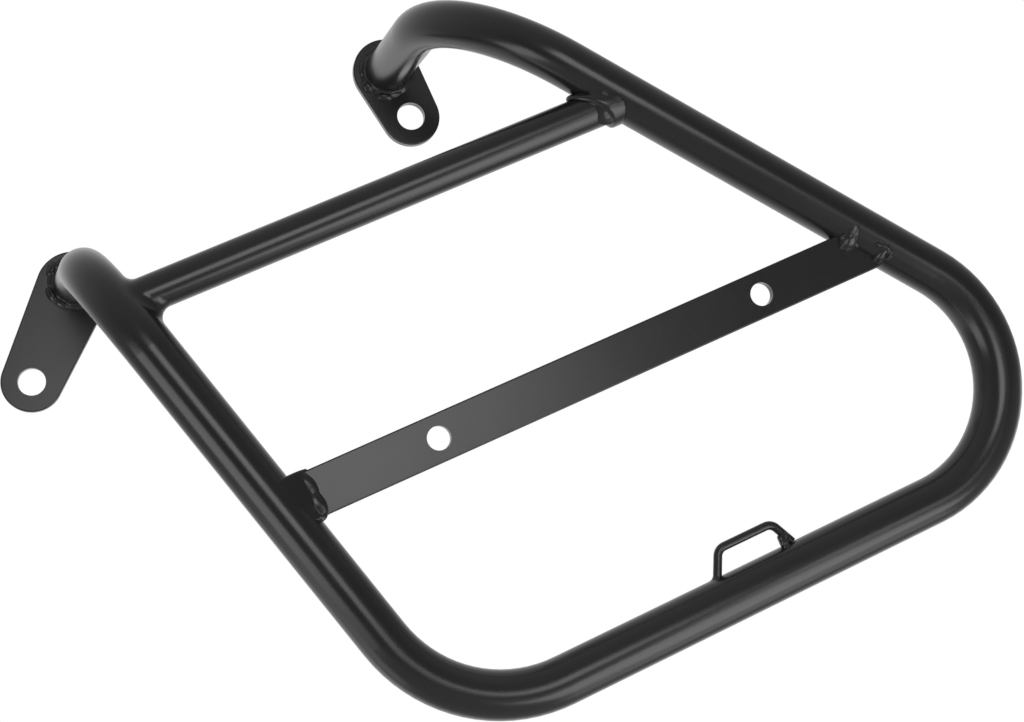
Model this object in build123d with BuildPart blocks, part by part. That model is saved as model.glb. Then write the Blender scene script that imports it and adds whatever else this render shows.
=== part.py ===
from build123d import *
import os
from math import cos, radians, sin, sqrt, tan

# Pannier frame: a welded steel side frame that keeps a soft bag off a motorbike's wheel.
# +X points to the rear, +Y inboard to the bike and +Z up. The origin lies midway between
# the two bag bolt holes, on the flat bar's outboard face. Millimetres and degrees.

# Main tube: one length of round tube with four bends. Lengths run between the corner
# points of its centre line, and bend radii are centre-line radii.
tube_diameter = 16.0
tube_wall = 1.5
base_length = 263.6
front_corner_ahead = 90.0
front_leg_length = 183.3
front_leg_lean = 14.8
rear_leg_length = 276.0
rear_leg_lean = 38.3
front_lower_bend = 48.0
rear_lower_bend = 43.0
front_upper_bend = 36.0
rear_upper_bend = 49.6

# Arms: reach inboard from the legs' mid-plane to the tabs, with a slight rise and slant
front_arm_reach = 134.5
front_arm_rise = 8.2
front_arm_forward = 1.3
rear_arm_reach = 96.0
rear_arm_rise = 2.3
rear_arm_forward = 3.7

# Cross tube between the legs, just below the corner where the front leg turns inboard
cross_diameter = 12.0
cross_wall = 1.5
cross_drop = 13.9

# Flat bar that the bag bolts to
bar_width = 15.3
bar_thickness = 3.0
bar_height = 85.8
bar_face_proud = 3.5
bar_edge_radius = 0.5
bar_hole_diameter = 7.8
bar_hole_spacing = 117.5

# Strap loop: bent wire on top of the base
wire_diameter = 2.9
loop_middle = 20.5
loop_top_length = 19.9
loop_foot_length = 28.1
loop_rise = 8.2
loop_bend = 3.6

# Tabs: tapered plates on the arm ends, each with one bolt hole. Angles are measured
# from straight down, positive to the rear.
tab_thickness = 4.0
tab_edge_radius = 0.5
tab_hole_diameter = 10.5
front_tab_length = 41.7
front_tab_angle = -46.0
front_tab_weld_radius = 14.0
front_tab_weld_shift = 2.4
front_tab_hole_radius = 11.5
rear_tab_length = 19.4
rear_tab_angle = 5.0
rear_tab_weld_radius = 12.5
rear_tab_weld_shift = 0.0
rear_tab_hole_radius = 11.0

# Weld beads
tab_weld_leg = 2.9
cross_weld_leg = 4.8
cross_collar_height = 1.6
cross_collar_width = 3.0
cross_collar_round = 1.2
loop_weld_leg = 2.4
bar_bead_reach = 5.0
bar_bead_height = 3.0
bar_bead_lean = 6.0
bar_bead_overrun = 1.8
bar_bead_end_radius = 1.2
upper_tack_length = 7.4
upper_tack_width = 6.4
upper_tack_height = 2.6
upper_tack_crown = 2.0
upper_tack_offset = 4.6
lower_tack_length = 4.6
lower_tack_width = 4.2
lower_tack_height = 1.8
lower_tack_crown = 1.3
lower_tack_offset = -7.8
loop_tack_length = 3.4
loop_tack_width = 3.8
loop_tack_height = 4.0
loop_tack_crown = 1.2
loop_tack_inset = 2.4


def slanted(lean):
    """Direction of a leg that leans forward from upright."""
    return Vector(-sin(radians(lean)), 0, cos(radians(lean)))


def inboard(reach, rise, forward):
    """Step along an arm, as far inboard as its reach."""
    return Vector(-reach * tan(radians(forward)), reach, reach * tan(radians(rise)))


tube_radius = tube_diameter / 2
front_leg = slanted(front_leg_lean)
rear_leg = slanted(rear_leg_lean)
front_corner = Vector(-front_corner_ahead, bar_face_proud, -bar_height)
rear_corner = front_corner + Vector(base_length, 0, 0)
front_top = front_corner + front_leg * front_leg_length
rear_top = rear_corner + rear_leg * rear_leg_length
front_arm_end = front_top + inboard(front_arm_reach, front_arm_rise, front_arm_forward)
rear_arm_end = rear_top + inboard(rear_arm_reach, rear_arm_rise, rear_arm_forward)
front_overrun = 1 + tube_diameter / front_arm_reach
rear_overrun = 1 + tube_diameter / rear_arm_reach

# Centre line of the main tube, running past both tabs so that its ends can be cut flush
with BuildLine() as tube_path:
    FilletPolyline(
        front_top + (front_arm_end - front_top) * front_overrun,
        front_top,
        front_corner,
        rear_corner,
        rear_top,
        rear_top + (rear_arm_end - rear_top) * rear_overrun,
        radius=[front_upper_bend, front_lower_bend, rear_lower_bend, rear_upper_bend],
    )

# Tab faces, where the tube ends: plane x to the rear, plane y down, plane z inboard
front_tab_plane = Plane(front_arm_end, x_dir=(1, 0, 0), z_dir=(0, 1, 0))
rear_tab_plane = Plane(rear_arm_end, x_dir=(1, 0, 0), z_dir=(0, 1, 0))


# The tube's own seam runs round the outside of the loop, clear of every weld on its inside
tube_start = Plane(tube_path.line @ 0, x_dir=(-1, 0, 0), z_dir=tube_path.line % 0)


def bent_tube(radius):
    """Solid rod along the centre line, cut flush at both tab faces."""
    with BuildPart() as rod:
        with BuildSketch(tube_start):
            Circle(radius)
        sweep(path=tube_path.line)
        for tab_plane in (front_tab_plane, rear_tab_plane):
            with BuildSketch(tab_plane):
                Circle(2 * tube_diameter)
            extrude(amount=2 * tube_diameter, mode=Mode.SUBTRACT)
    return rod.part


tube_envelope = bent_tube(tube_radius)

with BuildPart() as main_tube:
    add(tube_envelope)
    add(bent_tube(tube_radius - tube_wall), mode=Mode.SUBTRACT)

# The cross tube runs level, from one leg's centre line to the other's
cross_level = Plane.XY.offset(front_top.Z - cross_drop)
cross_ends = [Vector(*v) for v in tube_path.wire().intersect(cross_level).vertices()]
cross_front, cross_rear = sorted(cross_ends, key=lambda end: end.X)
cross_plane = Plane(cross_front, z_dir=cross_rear - cross_front)

with BuildPart() as cross_envelope:
    with BuildSketch(cross_plane):
        Circle(cross_diameter / 2)
    extrude(amount=(cross_rear - cross_front).length)

with BuildPart() as cross_tube:
    add(cross_envelope.part)
    with BuildSketch(cross_plane):
        Circle(cross_diameter / 2 - cross_wall)
    extrude(amount=(cross_rear - cross_front).length, mode=Mode.SUBTRACT)
    add(tube_envelope, mode=Mode.SUBTRACT)

# Flat bar, its ends fitted against the legs
bar_front_x = -front_corner_ahead - bar_height * tan(radians(front_leg_lean))
bar_rear_x = base_length - front_corner_ahead - bar_height * tan(radians(rear_leg_lean))
bar_face = Plane((0, 0, 0), x_dir=(1, 0, 0), z_dir=(0, -1, 0))

with BuildPart() as bag_bar:
    with BuildSketch(bar_face):
        with Locations(((bar_front_x + bar_rear_x) / 2, 0)):
            Rectangle(bar_rear_x - bar_front_x, bar_width)
    extrude(amount=-bar_thickness)
    fillet(bag_bar.edges().filter_by(Axis.X), bar_edge_radius)
    with Locations(bar_face):
        with GridLocations(bar_hole_spacing, 0, 2, 1):
            Hole(bar_hole_diameter / 2, bar_thickness)
    add(tube_envelope, mode=Mode.SUBTRACT)

# Strap loop, standing on the base in the frame's mid-plane
loop_plane = Plane(
    (loop_middle, bar_face_proud, -bar_height + tube_radius),
    x_dir=(1, 0, 0),
    z_dir=(0, -1, 0),
)
loop_splay = (loop_foot_length - loop_top_length) / 2 / loop_rise
front_foot_x = -loop_foot_length / 2 - loop_splay * wire_diameter

with BuildPart() as loop_wire:
    with BuildLine(loop_plane) as loop_path:
        FilletPolyline(
            (front_foot_x, -wire_diameter),
            (-loop_top_length / 2, loop_rise),
            (loop_top_length / 2, loop_rise),
            (loop_foot_length / 2, 0),
            radius=loop_bend,
        )
    with BuildSketch(loop_path.line ^ 0):
        Circle(wire_diameter / 2)
    sweep(path=loop_path.line)

with BuildPart() as strap_loop:
    add(loop_wire.part)
    add(tube_envelope, mode=Mode.SUBTRACT)


def tab_plate(tab_plane, length, angle, weld_radius, weld_shift, hole_radius):
    """Tapered plate on an arm's end, with its bolt hole."""
    towards_hole = Vector(sin(radians(angle)), cos(radians(angle)))
    hole_end = towards_hole * length
    with BuildPart() as tab:
        with BuildSketch(tab_plane):
            with Locations(towards_hole * weld_shift):
                Circle(weld_radius)
            with Locations(hole_end):
                Circle(hole_radius)
            make_hull()
        extrude(amount=tab_thickness)
        rims = tab.edges().group_by(Axis.Y)
        fillet(rims[0] + rims[-1], tab_edge_radius)
        with BuildSketch(tab_plane):
            with Locations(hole_end):
                Circle(tab_hole_diameter / 2)
        extrude(amount=tab_thickness, mode=Mode.SUBTRACT)
    return tab.part


front_tab = tab_plate(
    front_tab_plane,
    front_tab_length,
    front_tab_angle,
    front_tab_weld_radius,
    front_tab_weld_shift,
    front_tab_hole_radius,
)
rear_tab = tab_plate(
    rear_tab_plane,
    rear_tab_length,
    rear_tab_angle,
    rear_tab_weld_radius,
    rear_tab_weld_shift,
    rear_tab_hole_radius,
)


def tab_weld(tab, arm_start, arm_end):
    """Bead round an arm's end, on the tab's outboard face."""
    with BuildPart() as arm:
        with BuildSketch(Plane(arm_end, z_dir=arm_end - arm_start)):
            Circle(tube_radius)
        extrude(amount=tube_diameter, both=True)
    with BuildPart() as bead:
        add(tab)
        add(arm.part)
        fillet(bead.edges(Select.NEW).sort_by(Axis.Y)[0], tab_weld_leg)
        add(tab, mode=Mode.SUBTRACT)
        add(arm.part, mode=Mode.SUBTRACT)
    return bead.part


def tube_weld(branch, joint, reach, leg):
    """Bead where a branch meets the main tube, within reach of a joint."""
    with BuildPart() as bead:
        add(tube_envelope)
        add(branch)
        seams = [e for e in bead.edges(Select.NEW) if (e.center() - joint).length < reach]
        fillet(seams, leg)
        add(tube_envelope, mode=Mode.SUBTRACT)
        add(branch, mode=Mode.SUBTRACT)
    return bead.part


# The bar's outboard face meets each leg along a straight seam beside the leg
seam_reach = sqrt(tube_radius**2 - bar_face_proud**2)
front_seam = Vector(bar_front_x + seam_reach / cos(radians(front_leg_lean)), 0, 0)
rear_seam = Vector(bar_rear_x - seam_reach / cos(radians(rear_leg_lean)), 0, 0)
front_seam_length = bar_width / cos(radians(front_leg_lean))

# The front seam is welded over its whole length, in a bead that widens upwards, ends level
# with the bar's upper edge and runs past its lower edge
bead_way = slanted(bar_bead_lean)
with BuildPart() as bag_bar_front_weld:
    with BuildSketch(Plane(front_seam, x_dir=bead_way.cross(bar_face.z_dir), z_dir=bead_way)):
        Ellipse(bar_bead_reach, bar_bead_height)
    extrude(amount=front_seam_length / 2 + bar_bead_overrun, both=True)
    split(bisect_by=Plane.XY.offset(bar_width / 2), keep=Keep.BOTTOM)
    fillet(bag_bar_front_weld.edges().filter_by(GeomType.ELLIPSE), bar_bead_end_radius)
    split(bisect_by=bar_face)
    add(tube_envelope, mode=Mode.SUBTRACT)


def puddle(base, length, width, height, crown):
    """Puddle of weld on a base plane: an oval pad, long along the plane's x, with a round crown."""
    with BuildPart() as pad:
        with BuildSketch(base):
            Ellipse(length / 2, width / 2)
        extrude(amount=height)
        fillet(pad.faces().sort_by(Axis(base.origin, base.z_dir))[-1].edges(), crown)
        add(tube_envelope, mode=Mode.SUBTRACT)
        add(bag_bar.part, mode=Mode.SUBTRACT)
    return pad.part


# The rear seam is only tacked: both tacks face out of the corner between the bar and the leg
seam_normal = bar_face.z_dir * bar_face_proud - rear_leg.cross(bar_face.z_dir) * seam_reach
corner_way = (seam_normal.normalized() + bar_face.z_dir).normalized()


def bar_tack(offset, length, width, height, crown):
    """Tack in the corner of the rear seam, at an offset along it."""
    base = Plane(rear_seam + rear_leg * offset, x_dir=rear_leg, z_dir=corner_way)
    return puddle(base, length, width, height, crown)


upper_tack = bar_tack(
    upper_tack_offset,
    upper_tack_length,
    upper_tack_width,
    upper_tack_height,
    upper_tack_crown,
)
lower_tack = bar_tack(
    lower_tack_offset,
    lower_tack_length,
    lower_tack_width,
    lower_tack_height,
    lower_tack_crown,
)

# The loop's rear leg is tacked in the corner under it, on top of the base
loop_tack_middle = loop_plane.from_local_coords((loop_foot_length / 2 - loop_tack_inset, -wire_diameter))
loop_tack_base = Plane(loop_tack_middle, x_dir=(1, 0, 0), z_dir=(0, 0, 1))
loop_tack_pad = puddle(
    loop_tack_base,
    loop_tack_length,
    loop_tack_width,
    wire_diameter + loop_tack_height,
    loop_tack_crown,
)

with BuildPart() as strap_loop_rear_tack:
    add(loop_tack_pad)
    add(loop_wire.part, mode=Mode.SUBTRACT)

# Its front leg is welded on the outside only
loop_front_foot = loop_plane.from_local_coords((-loop_foot_length / 2, 0))
loop_front_bead = tube_weld(loop_wire.part, loop_front_foot, loop_foot_length / 2, loop_weld_leg)

with BuildPart() as strap_loop_front_weld:
    add(loop_front_bead)
    split(bisect_by=Plane(loop_front_foot, z_dir=(-1, 0, 0)))

# The cross tube's front joint has a smooth, hollow bead, and its rear joint a raised collar
cross_way = cross_rear - cross_front
cross_front_weld = tube_weld(cross_envelope.part, cross_front, cross_way.length / 2, cross_weld_leg)
collar_bound = bent_tube(tube_radius + cross_collar_width)

with BuildPart() as cross_tube_rear_weld:
    with BuildSketch(cross_plane):
        Circle(cross_diameter / 2 + cross_collar_height)
    extrude(amount=cross_way.length)
    split(bisect_by=cross_plane.offset(cross_way.length / 2))
    add(collar_bound, mode=Mode.INTERSECT)
    rim = [e for e in cross_tube_rear_weld.edges() if (e.center() - cross_rear).length > tube_radius]
    fillet([e for e in rim if e.geom_type != GeomType.LINE], cross_collar_round)
    add(tube_envelope, mode=Mode.SUBTRACT)
    add(cross_envelope.part, mode=Mode.SUBTRACT)

pieces = {
    "main_tube": main_tube.part,
    "cross_tube": cross_tube.part,
    "bag_bar": bag_bar.part,
    "strap_loop": strap_loop.part,
    "front_tab": front_tab,
    "rear_tab": rear_tab,
    "front_tab_weld": tab_weld(front_tab, front_top, front_arm_end),
    "rear_tab_weld": tab_weld(rear_tab, rear_top, rear_arm_end),
    "cross_tube_front_weld": cross_front_weld,
    "cross_tube_rear_weld": cross_tube_rear_weld.part,
    "bag_bar_front_weld": bag_bar_front_weld.part,
    "bag_bar_rear_upper_tack": upper_tack,
    "bag_bar_rear_lower_tack": lower_tack,
    "strap_loop_front_weld": strap_loop_front_weld.part,
    "strap_loop_rear_tack": strap_loop_rear_tack.part,
}
os.makedirs("parts", exist_ok=True)
for name, piece in pieces.items():
    piece.label = name
    export_step(piece, f"parts/{name}.step")
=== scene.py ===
import random
from math import acos, atan2, cos, hypot, pi, radians, sin, sqrt

import bpy
from mathutils import Matrix, Quaternion, Vector


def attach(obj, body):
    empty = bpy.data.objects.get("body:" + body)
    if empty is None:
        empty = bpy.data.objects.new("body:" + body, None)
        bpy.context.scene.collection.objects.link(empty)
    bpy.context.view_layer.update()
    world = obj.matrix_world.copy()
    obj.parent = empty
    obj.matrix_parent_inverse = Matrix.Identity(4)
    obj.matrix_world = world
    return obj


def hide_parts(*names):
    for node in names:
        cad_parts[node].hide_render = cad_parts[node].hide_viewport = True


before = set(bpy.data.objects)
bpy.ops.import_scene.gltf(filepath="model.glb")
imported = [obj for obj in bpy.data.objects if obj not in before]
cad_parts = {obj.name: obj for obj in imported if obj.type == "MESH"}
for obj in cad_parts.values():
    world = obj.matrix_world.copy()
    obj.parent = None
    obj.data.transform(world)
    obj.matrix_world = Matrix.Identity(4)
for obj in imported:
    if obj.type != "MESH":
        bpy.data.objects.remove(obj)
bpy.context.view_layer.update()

MM = 0.001
up = Vector((0, 0, 1))
outboard = Vector((0, -1, 0))

# Sizes and places of the frame that the weld beads follow, in millimetres and degrees
tube_radius = 8.0
cross_radius = 6.0
bar_face = 3.5  # from the middle plane of the legs out to the flat bar's face
bar_top = 7.7
front_leg_lean = 14.8
rear_leg_lean = 38.3
front_seam = Vector((-105.2, 0, 0))  # where the flat bar's face meets each leg
rear_seam = Vector((96.7, 0, 0))
cross_front = Vector((-131.0, 7.5, 77.5))  # ends of the cross tube's middle line
cross_rear = Vector((44.3, 3.5, 77.5))
front_arm_end = Vector((-139.9, 138.0, 110.8))
rear_arm_end = Vector((-3.7, 99.5, 134.7))
loop_rear_foot = Vector((34.5, 3.5, -77.8))

# How the weld beads are made, in millimetres
weld_depth = 0.8  # into the walls that a bead joins
bead_grain = 0.22  # mesh of a bead, of a tack on the flat bar and of the tack on the strap loop
tack_grain = 0.18
loop_grain = 0.16
settle_rounds = 10
lump_level = 0.35  # share of a lump's height that is taken off, so that lumps rise more than they sink

# The photograph's camera: where it stands, what it looks at, its roll, its lens and its film's width
camera_place = Vector((-146.9, -529.9, 2.1)) * MM
camera_aim = Vector((-26.5, 3.5, 13.0)) * MM
camera_roll = -24.0
camera_lens = 60.12
camera_film = 36.0

floor_height = -1200.0 * MM
floor_size = 8.0


def linear(code):
    """Linear RGBA of an sRGB hex colour."""
    parts = [int(code[i : i + 2], 16) / 255 for i in (0, 2, 4)]
    return [p / 12.92 if p <= 0.04045 else ((p + 0.055) / 1.055) ** 2.4 for p in parts] + [1.0]


def node(tree, kind, settings=None, inputs=None):
    """Adds a node with its settings. An input is a value, or the socket that feeds it."""
    made = tree.nodes.new(kind)
    for name, value in (settings or {}).items():
        setattr(made, name, value)
    for name, value in (inputs or {}).items():
        if isinstance(value, bpy.types.NodeSocket):
            tree.links.new(value, made.inputs[name])
        else:
            made.inputs[name].default_value = value
    return made


def per_mm(size):
    """Noise scale, in metres of Object coordinates, for features of a size in millimetres."""
    return 1 / (size * MM)


def powder_coat(name, spatter=0.0):
    """Satin black polyester powder, sprayed and baked on steel: a smooth, even black skin with
    a faint orange peel, a soft sheen and slight changes of gloss where the film is thicker.
    spatter, in millimetres, roughens it over a weld bead."""
    material = bpy.data.materials.new(name)
    material.use_nodes = True
    tree = material.node_tree
    tree.nodes.clear()
    place = node(tree, "ShaderNodeTexCoord").outputs["Object"]

    # The film's thickness changes in soft clouds, and its tone and its sheen with it
    clouds = {"Vector": place, "Scale": per_mm(26), "Detail": 3.0}
    film = node(tree, "ShaderNodeTexNoise", inputs=clouds).outputs["Fac"]
    blacks = {"Factor": film, "A": linear("1b1b1c"), "B": linear("222223")}
    tone = node(tree, "ShaderNodeMix", {"data_type": "RGBA"}, blacks)
    sheen = node(tree, "ShaderNodeMapRange", inputs={"Value": film, "To Min": 0.21, "To Max": 0.27})

    # Orange peel, and over a weld the grains that the powder doesn't hide
    waves = {"Vector": place, "Scale": per_mm(1.6), "Detail": 2.0}
    peel = node(tree, "ShaderNodeTexNoise", inputs=waves).outputs["Fac"]
    relief = {"Strength": 0.15, "Distance": 0.02 * MM, "Height": peel}
    bump = node(tree, "ShaderNodeBump", inputs=relief).outputs["Normal"]
    if spatter:
        specks = {"Vector": place, "Scale": per_mm(1.2), "Detail": 3.0}
        grains = node(tree, "ShaderNodeTexNoise", inputs=specks).outputs["Fac"]
        relief = {"Strength": 0.5, "Distance": spatter * MM, "Height": grains, "Normal": bump}
        bump = node(tree, "ShaderNodeBump", inputs=relief).outputs["Normal"]

    skin = {
        "Base Color": tone.outputs["Result"],
        "Roughness": sheen.outputs["Result"],
        "IOR": 1.5,
        "Normal": bump,
    }
    shader = node(tree, "ShaderNodeBsdfPrincipled", inputs=skin)
    node(tree, "ShaderNodeOutputMaterial", inputs={"Surface": shader.outputs["BSDF"]})
    return material


coat = powder_coat("satin_black_powder_coat")
weld_coat = powder_coat("satin_black_powder_coat_over_weld", spatter=0.05)

for name, cad_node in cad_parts.items():
    cad_node.data.materials.clear()
    cad_node.data.materials.append(weld_coat if "weld" in name or "tack" in name else coat)


def deselect():
    """Leaves nothing selected, so that the next operator acts on what it adds."""
    bpy.ops.object.select_all(action="DESELECT")


def only(piece):
    """Leaves one piece selected and active, so that the next operator acts on it alone."""
    deselect()
    piece.select_set(True)
    bpy.context.view_layer.objects.active = piece


def slanted(lean):
    """Direction of a leg that leans forward from upright."""
    return Vector((-sin(radians(lean)), 0, cos(radians(lean))))


def drop(place, along, out, size):
    """Drop of weld metal: a ball flattened to its half sizes along the seam, across it and out of it."""
    deselect()
    across = out.cross(along).normalized()
    turn = Matrix((along, across, along.cross(across))).transposed()
    bpy.ops.mesh.primitive_ico_sphere_add(
        subdivisions=3,
        radius=1,
        location=place * MM,
        rotation=turn.to_euler(),
        scale=[half * MM for half in size],
    )
    return bpy.context.object


def trim(piece, place, way):
    """Cuts off what lies past a plane: a point on it in millimetres and the way that it faces."""
    only(piece)
    bpy.ops.object.mode_set(mode="EDIT")
    bpy.ops.mesh.select_all(action="SELECT")
    bpy.ops.mesh.bisect(plane_co=place * MM, plane_no=way, use_fill=True, clear_outer=True)
    bpy.ops.object.mode_set(mode="OBJECT")


def clear_tube(piece, place, way, radius):
    """Takes the inside of a tube out of a drop, to the weld's depth in the tube's wall."""
    deselect()
    past_any_drop = 80.0
    bpy.ops.mesh.primitive_cylinder_add(
        vertices=96,
        radius=(radius - weld_depth) * MM,
        depth=past_any_drop * MM,
        location=place * MM,
        rotation=way.to_track_quat("Z", "Y").to_euler(),
    )
    inside = bpy.context.object
    only(piece)
    bpy.ops.object.modifier_add(type="BOOLEAN")
    cut = piece.modifiers[0]
    cut.operation = "DIFFERENCE"
    cut.solver = "EXACT"
    cut.object = inside
    bpy.ops.object.modifier_apply(modifier=cut.name)
    bpy.data.objects.remove(inside)


def smooth_bead(cad_name):
    """Copy of a CAD weld bead, with the points along its edges merged."""
    cad_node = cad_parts[cad_name]
    bead = bpy.data.objects.new(cad_name + "_bead", cad_node.data.copy())
    bpy.context.collection.objects.link(bead)
    bead.matrix_world = cad_node.matrix_world
    only(bead)
    bpy.ops.object.mode_set(mode="EDIT")
    bpy.ops.mesh.select_all(action="SELECT")
    bpy.ops.mesh.remove_doubles(threshold=0.001 * MM)
    bpy.ops.object.mode_set(mode="OBJECT")
    return bead


def largest_part(piece):
    """Parts a piece into its loose parts, keeps the largest and removes the specks."""
    only(piece)
    bpy.ops.object.mode_set(mode="EDIT")
    bpy.ops.mesh.select_all(action="SELECT")
    bpy.ops.mesh.separate(type="LOOSE")
    bpy.ops.object.mode_set(mode="OBJECT")
    parts = sorted(bpy.context.selected_objects, key=lambda part: len(part.data.polygons))
    for speck in parts[:-1]:
        bpy.data.objects.remove(speck)
    return parts[-1]


def lumps(name, size):
    """Texture that swells a bead in lumps of a size in millimetres."""
    texture = bpy.data.textures.new(name, "CLOUDS")
    texture.noise_scale = size * MM
    texture.noise_depth = 1
    return texture


def weld(cad_name, pieces, lump_size, lump_height, grain=bead_grain):
    """Uneven bead in place of a smooth CAD one: the pieces run together, swollen in lumps and settled."""
    bead = pieces[0]
    only(bead)
    for piece in pieces:
        piece.select_set(True)
    bpy.ops.object.join()
    bpy.ops.object.transform_apply(location=True, rotation=True, scale=True)

    bpy.ops.object.modifier_add(type="REMESH")
    bpy.ops.object.modifier_add(type="DISPLACE")
    bpy.ops.object.modifier_add(type="SMOOTH")
    melt, swell, settle = bead.modifiers
    melt.mode = "VOXEL"
    melt.voxel_size = grain * MM
    swell.texture = lumps(cad_name + "_lumps", lump_size)
    swell.texture_coords = "LOCAL"
    swell.strength = lump_height * MM
    swell.mid_level = lump_level
    settle.factor = 0.5
    settle.iterations = settle_rounds
    for modifier in (melt, swell, settle):
        bpy.ops.object.modifier_apply(modifier=modifier.name)

    bead = largest_part(bead)
    bead.name = cad_name + "_bead"
    only(bead)
    bpy.ops.object.shade_smooth()
    bead.data.materials.clear()
    bead.data.materials.append(weld_coat)
    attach(bead, "root")
    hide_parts(cad_name)


front_leg = slanted(front_leg_lean)
rear_leg = slanted(rear_leg_lean)

# Across each leg towards the flat bar, and the point on the leg's middle line beside its seam
front_side = Vector((front_leg.z, 0, -front_leg.x))
rear_side = -Vector((rear_leg.z, 0, -rear_leg.x))
seam_reach = sqrt(tube_radius**2 - bar_face**2)
front_middle = front_seam - front_side * seam_reach - outboard * bar_face
rear_middle = rear_seam - rear_side * seam_reach - outboard * bar_face


def seam_drops(seam, leg, side, spots):
    """Drops along a seam of the flat bar. Each spot is a height along the leg, a step from the seam,
    over the bar's face or, if it is less than zero, back round the tube, and the drop's half sizes."""
    drops = []
    for height, step, size in spots:
        place = seam + leg * height + side * step
        out = outboard
        if step < 0:
            place.y = bar_face - sqrt(tube_radius**2 - (seam_reach + step) ** 2)
            out = side * (seam_reach + step) + outboard * (bar_face - place.y)
        drops.append(drop(place, leg, out, size))
    return drops


def hug_drop(middle, leg, side, height, length, reach, rise):
    """Drop that swells out of a leg and ends in a toe on the flat bar. It has a height along the leg,
    a half length, and a reach and a rise from the leg's middle line. Its far side stays in the leg."""
    far_reach = tube_radius - 0.6
    place = middle + leg * height + side * (reach - far_reach) / 2
    piece = drop(place, leg, outboard, (length, (reach + far_reach) / 2, rise))
    clear_tube(piece, middle, leg, tube_radius)
    trim(piece, -outboard * weld_depth, -outboard)
    return piece


def tangent_drop(middle, leg, side, face, toe, height, size):
    """Drop that leaves a leg on a tangent and ends in a toe on what is joined to it, whose face and
    toe have their distances from the leg's middle line. It has a height along the leg and half sizes."""
    lift = atan2(face, toe) + acos(tube_radius / hypot(face, toe))
    out = side * cos(lift) + outboard * sin(lift)
    slope = side * sin(lift) - outboard * cos(lift)
    run = sqrt(toe**2 + face**2 - tube_radius**2)
    proud = 0.1
    lead_in = 0.5
    place = middle + leg * height + out * (tube_radius + proud - size[2]) + slope * run / 2
    piece = drop(place, leg, out, size)
    clear_tube(piece, middle, leg, tube_radius)
    trim(piece, middle + out * tube_radius - slope * lead_in, -slope)
    trim(piece, -outboard * weld_depth, -outboard)
    return piece


def ring_drops(end, spots):
    """Drops of a bead round an arm's end, on its tab. Each spot is an angle in degrees, up from
    straight back, a distance from the arm's middle and the drop's half sizes."""
    lean = outboard * 1.6
    drops = []
    for angle, distance, size in spots:
        ray = Vector((cos(radians(angle)), 0, sin(radians(angle))))
        along = Vector((-ray.z, 0, ray.x))
        drops.append(drop(end + ray * distance, along, ray + lean, size))
    return drops


def ripples(count, radius, seed):
    """Low, uneven spots all round a ring."""
    chance = random.Random(seed)
    return [
        (
            360 * (i + chance.uniform(-0.2, 0.2)) / count,
            radius + chance.uniform(-0.3, 0.3),
            (chance.uniform(3.2, 4.0), chance.uniform(1.3, 1.6), chance.uniform(0.8, 1.1)),
        )
        for i in range(count)
    ]


# Front seam of the flat bar: a bead that leaves the leg on a tangent, stands over the bar's top edge
# and has a low, wavy ridge along its toe and a small lump under the bar
front_bead = tangent_drop(
    front_middle, front_leg, front_side, face=bar_face, toe=13.0, height=6.0, size=(18.0, 14.0, 3.0)
)
front_bead_over_bar = 0.6
trim(front_bead, up * (bar_top + front_bead_over_bar), up)
trim(front_bead, -up * bar_top, -up)
front_ridge_spots = [
    (2.2, 3.2, (5.0, 3.0, 1.0)),
    (-3.6, 2.2, (5.0, 3.0, 1.2)),
    (-8.2, 0.9, (1.1, 2.1, 1.1)),
]
front_ridge = seam_drops(front_seam, front_leg, front_side, front_ridge_spots)
weld("bag_bar_front_weld", [front_bead] + front_ridge, lump_size=6.0, lump_height=0.5)

# Rear seam: a smeared upper tack that runs up on to the leg and a small lower one with a hooked edge
upper_tack = hug_drop(rear_middle, rear_leg, rear_side, height=5.2, length=4.8, reach=11.4, rise=7.9)
lower_tack = hug_drop(rear_middle, rear_leg, rear_side, height=-6.6, length=3.8, reach=9.6, rise=7.9)
upper_smear_spots = [
    (7.6, -0.6, (1.1, 1.9, 1.0)),
    (5.6, -2.6, (1.8, 0.9, 0.6)),
    (2.4, -0.4, (1.3, 1.5, 1.0)),
]
lower_hook_spots = [
    (-3.8, -3.6, (1.1, 0.8, 0.7)),
    (-5.4, -4.0, (1.2, 0.8, 0.7)),
    (-7.0, -4.1, (1.2, 0.8, 0.8)),
    (-8.6, -3.6, (1.1, 0.9, 0.8)),
    (-9.4, -2.2, (0.9, 1.2, 0.8)),
]
upper_smear = seam_drops(rear_seam, rear_leg, rear_side, upper_smear_spots)
lower_hook = seam_drops(rear_seam, rear_leg, rear_side, lower_hook_spots)
weld("bag_bar_rear_upper_tack", [upper_tack] + upper_smear, 3.0, 0.3, tack_grain)
weld("bag_bar_rear_lower_tack", [lower_tack] + lower_hook, 2.4, 0.2, tack_grain)

# Beads round the arm ends: low ripples, heaped up in a few places towards the front
ripple_count = 7
ripple_radius = 9.3
front_heaps = [
    (129, 10.4, (3.0, 1.8, 1.2)),
    (187, 10.6, (3.4, 1.8, 1.2)),
    (215, 10.2, (3.0, 1.7, 1.2)),
]
rear_heaps = [
    (196, 9.7, (2.6, 2.2, 1.7)),
    (243, 10.2, (3.2, 1.7, 1.1)),
]
front_ring = ring_drops(front_arm_end, ripples(ripple_count, ripple_radius, seed=3) + front_heaps)
rear_ring = ring_drops(rear_arm_end, ripples(ripple_count, ripple_radius, seed=8) + rear_heaps)
weld("front_tab_weld", [smooth_bead("front_tab_weld")] + front_ring, 4.0, 0.3)
weld("rear_tab_weld", [smooth_bead("rear_tab_weld")] + rear_ring, 4.0, 0.3)

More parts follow.
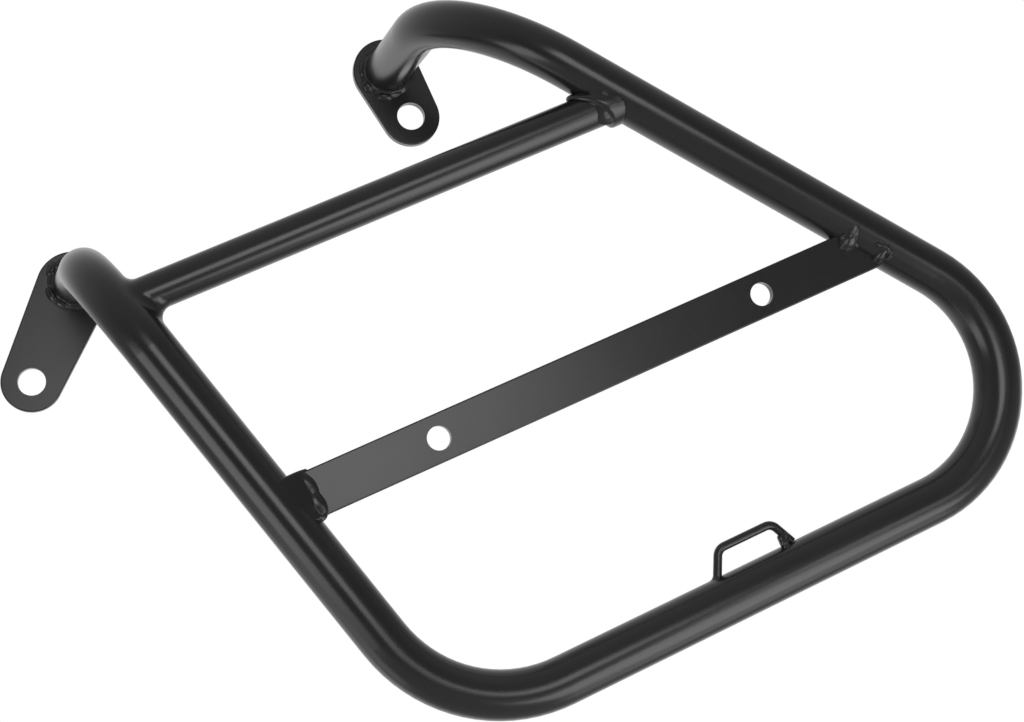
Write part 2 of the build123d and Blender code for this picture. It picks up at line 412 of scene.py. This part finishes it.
# The cross tube's rear joint: a broad, uneven collar that runs out of the leg over the cross tube
collar = tangent_drop(
    cross_rear, rear_leg, rear_side, face=cross_radius, toe=11.5, height=5.6, size=(7.6, 8.5, 4.5)
)
clear_tube(collar, cross_rear, cross_front - cross_rear, cross_radius)
weld("cross_tube_rear_weld", [smooth_bead("cross_tube_rear_weld"), collar], 6.0, 0.3)

# Strap loop: a tall tack under its rear leg, in three drops, each a step from the foot and half sizes
loop_drops = [
    drop(loop_rear_foot + Vector(step), Vector((1, 0, 0)), up, size)
    for step, size in (
        ((-1.7, -1.3, 2.6), (1.0, 1.0, 1.6)),
        ((-2.5, -1.6, 0.6), (1.2, 1.2, 1.7)),
        ((-3.0, -2.4, -0.9), (1.2, 1.1, 1.0)),
    )
]
weld("strap_loop_rear_tack", [smooth_bead("strap_loop_rear_tack")] + loop_drops, 2.0, 0.2, loop_grain)


def camera():
    """Camera at the photograph's place and angle."""
    deselect()
    bpy.ops.object.camera_add(location=camera_place)
    eye = bpy.context.object
    eye.name = "photo_camera"
    eye.rotation_mode = "QUATERNION"
    look = (camera_aim - camera_place).to_track_quat("-Z", "Y")
    eye.rotation_quaternion = look @ Quaternion((0, 0, 1), radians(camera_roll))
    eye.data.lens = camera_lens
    eye.data.sensor_width = camera_film
    eye.data.clip_start = 10 * MM
    bpy.context.scene.camera = eye
    return eye


eye_turn = camera().rotation_quaternion.to_matrix()


def softbox(name, direction, distance, length, width, radiance):
    """Soft light, placed by its direction as the camera sees it: right, up, towards the camera. Its
    length lies along the camera's line of sight. Distances are in metres."""
    deselect()
    way = (eye_turn @ Vector(direction)).normalized()
    back = eye_turn @ Vector((0, 0, 1))
    across = way.cross(back).normalized()
    bpy.ops.object.light_add(type="AREA", location=way * distance)
    lamp = bpy.context.object
    lamp.name = name
    lamp.rotation_mode = "QUATERNION"
    lamp.rotation_quaternion = Matrix((across.cross(way), across, way)).transposed().to_quaternion()
    lamp.data.shape = "RECTANGLE"
    lamp.data.size = length
    lamp.data.size_y = width
    lamp.data.energy = radiance * pi * length * width


softbox("key_softbox", (0.19, 0.18, 0.96), 1.6, 0.62, 0.60, 3.5)
softbox("left_softbox", (-0.62, -0.42, 0.66), 1.2, 0.75, 0.40, 2.6)
softbox("right_softbox", (0.64, -0.50, 0.58), 1.1, 0.74, 0.55, 3.0)
softbox("side_softbox", (0.62, -0.03, 0.78), 1.2, 0.30, 0.30, 2.2)
softbox("left_low_softbox", (-0.62, -0.76, 0.20), 1.2, 0.50, 0.50, 1.0)
softbox("right_low_softbox", (0.66, -0.74, 0.10), 1.0, 0.42, 0.42, 1.2)


def shown_white(tree, behind):
    """1 for what the camera sees straight, the share behind for what it sees in a gloss or through
    glass, and 0 for other light."""
    path = node(tree, "ShaderNodeLightPath").outputs
    rays = {0: path["Is Glossy Ray"], 1: path["Is Transmission Ray"]}
    gloss = node(tree, "ShaderNodeMath", {"operation": "ADD", "use_clamp": True}, rays)
    shares = {0: gloss.outputs["Value"], 1: behind, 2: path["Is Camera Ray"]}
    white = node(tree, "ShaderNodeMath", {"operation": "MULTIPLY_ADD", "use_clamp": True}, shares)
    return white.outputs["Value"]


smooth_rise = {"interpolation_type": "SMOOTHSTEP"}


def studio_light():
    """A dim room, darkest behind the camera and lightest overhead, and a white sweep behind the frame,
    which its gloss shows too."""
    scene = bpy.context.scene
    scene.view_settings.view_transform = "Standard"
    world = bpy.data.worlds.new("studio")
    world.use_nodes = True
    scene.world = world
    tree = world.node_tree
    tree.nodes.clear()
    way = node(tree, "ShaderNodeTexCoord").outputs["Generated"]
    parts = node(tree, "ShaderNodeSeparateXYZ", inputs={"Vector": way}).outputs

    rise = {"Value": parts["Z"], "From Min": -0.1, "From Max": 0.8, "To Min": 0.0, "To Max": 0.28}
    overhead = node(tree, "ShaderNodeMapRange", smooth_rise, rise)
    rise = {"Value": parts["Y"], "From Min": -0.9, "From Max": 0.5, "To Min": 0.12, "To Max": 0.40}
    around = node(tree, "ShaderNodeMapRange", smooth_rise, rise)
    levels = {0: overhead.outputs["Result"], 1: around.outputs["Result"]}
    level = node(tree, "ShaderNodeMath", {"operation": "ADD"}, levels)
    rise = {"Value": parts["Y"], "From Min": 0.3, "From Max": 1.0}
    behind = node(tree, "ShaderNodeMapRange", smooth_rise, rise)

    paint = {"Color": linear("ffffff"), "Strength": level.outputs["Value"]}
    room = node(tree, "ShaderNodeBackground", inputs=paint)
    paint = {"Color": linear("ffffff"), "Strength": 1.0}
    sweep = node(tree, "ShaderNodeBackground", inputs=paint)
    mix = {
        "Fac": shown_white(tree, behind.outputs["Result"]),
        1: room.outputs["Background"],
        2: sweep.outputs["Background"],
    }
    light = node(tree, "ShaderNodeMixShader", inputs=mix)
    node(tree, "ShaderNodeOutputWorld", inputs={"Surface": light.outputs["Shader"]})


def studio_floor():
    """Floor well below the frame, of matt white paper: an even, dull, pale sheet that keeps the shadow.
    To the camera it glows, and so does the part behind the frame to the frame's gloss."""
    deselect()
    bpy.ops.mesh.primitive_plane_add(size=floor_size, location=(0, 0, floor_height))
    bpy.ops.object.transform_apply(location=True)
    floor = bpy.context.object
    floor.name = "studio_floor"
    material = bpy.data.materials.new("matt_white_paper")
    material.use_nodes = True
    tree = material.node_tree
    tree.nodes.clear()
    place = node(tree, "ShaderNodeTexCoord").outputs["Object"]
    parts = node(tree, "ShaderNodeSeparateXYZ", inputs={"Vector": place}).outputs
    rise = {"Value": parts["Y"], "From Min": 0.3, "From Max": 1.5}
    behind = node(tree, "ShaderNodeMapRange", smooth_rise, rise)
    glow = {0: shown_white(tree, behind.outputs["Result"]), 1: 0.8}
    level = node(tree, "ShaderNodeMath", {"operation": "MULTIPLY"}, glow)
    paper = {
        "Base Color": linear("d2d2d2"),
        "Roughness": 0.9,
        "Emission Color": linear("ffffff"),
        "Emission Strength": level.outputs["Value"],
    }
    shader = node(tree, "ShaderNodeBsdfPrincipled", inputs=paper)
    node(tree, "ShaderNodeOutputMaterial", inputs={"Surface": shader.outputs["BSDF"]})
    floor.data.materials.append(material)


studio_light()
studio_floor()
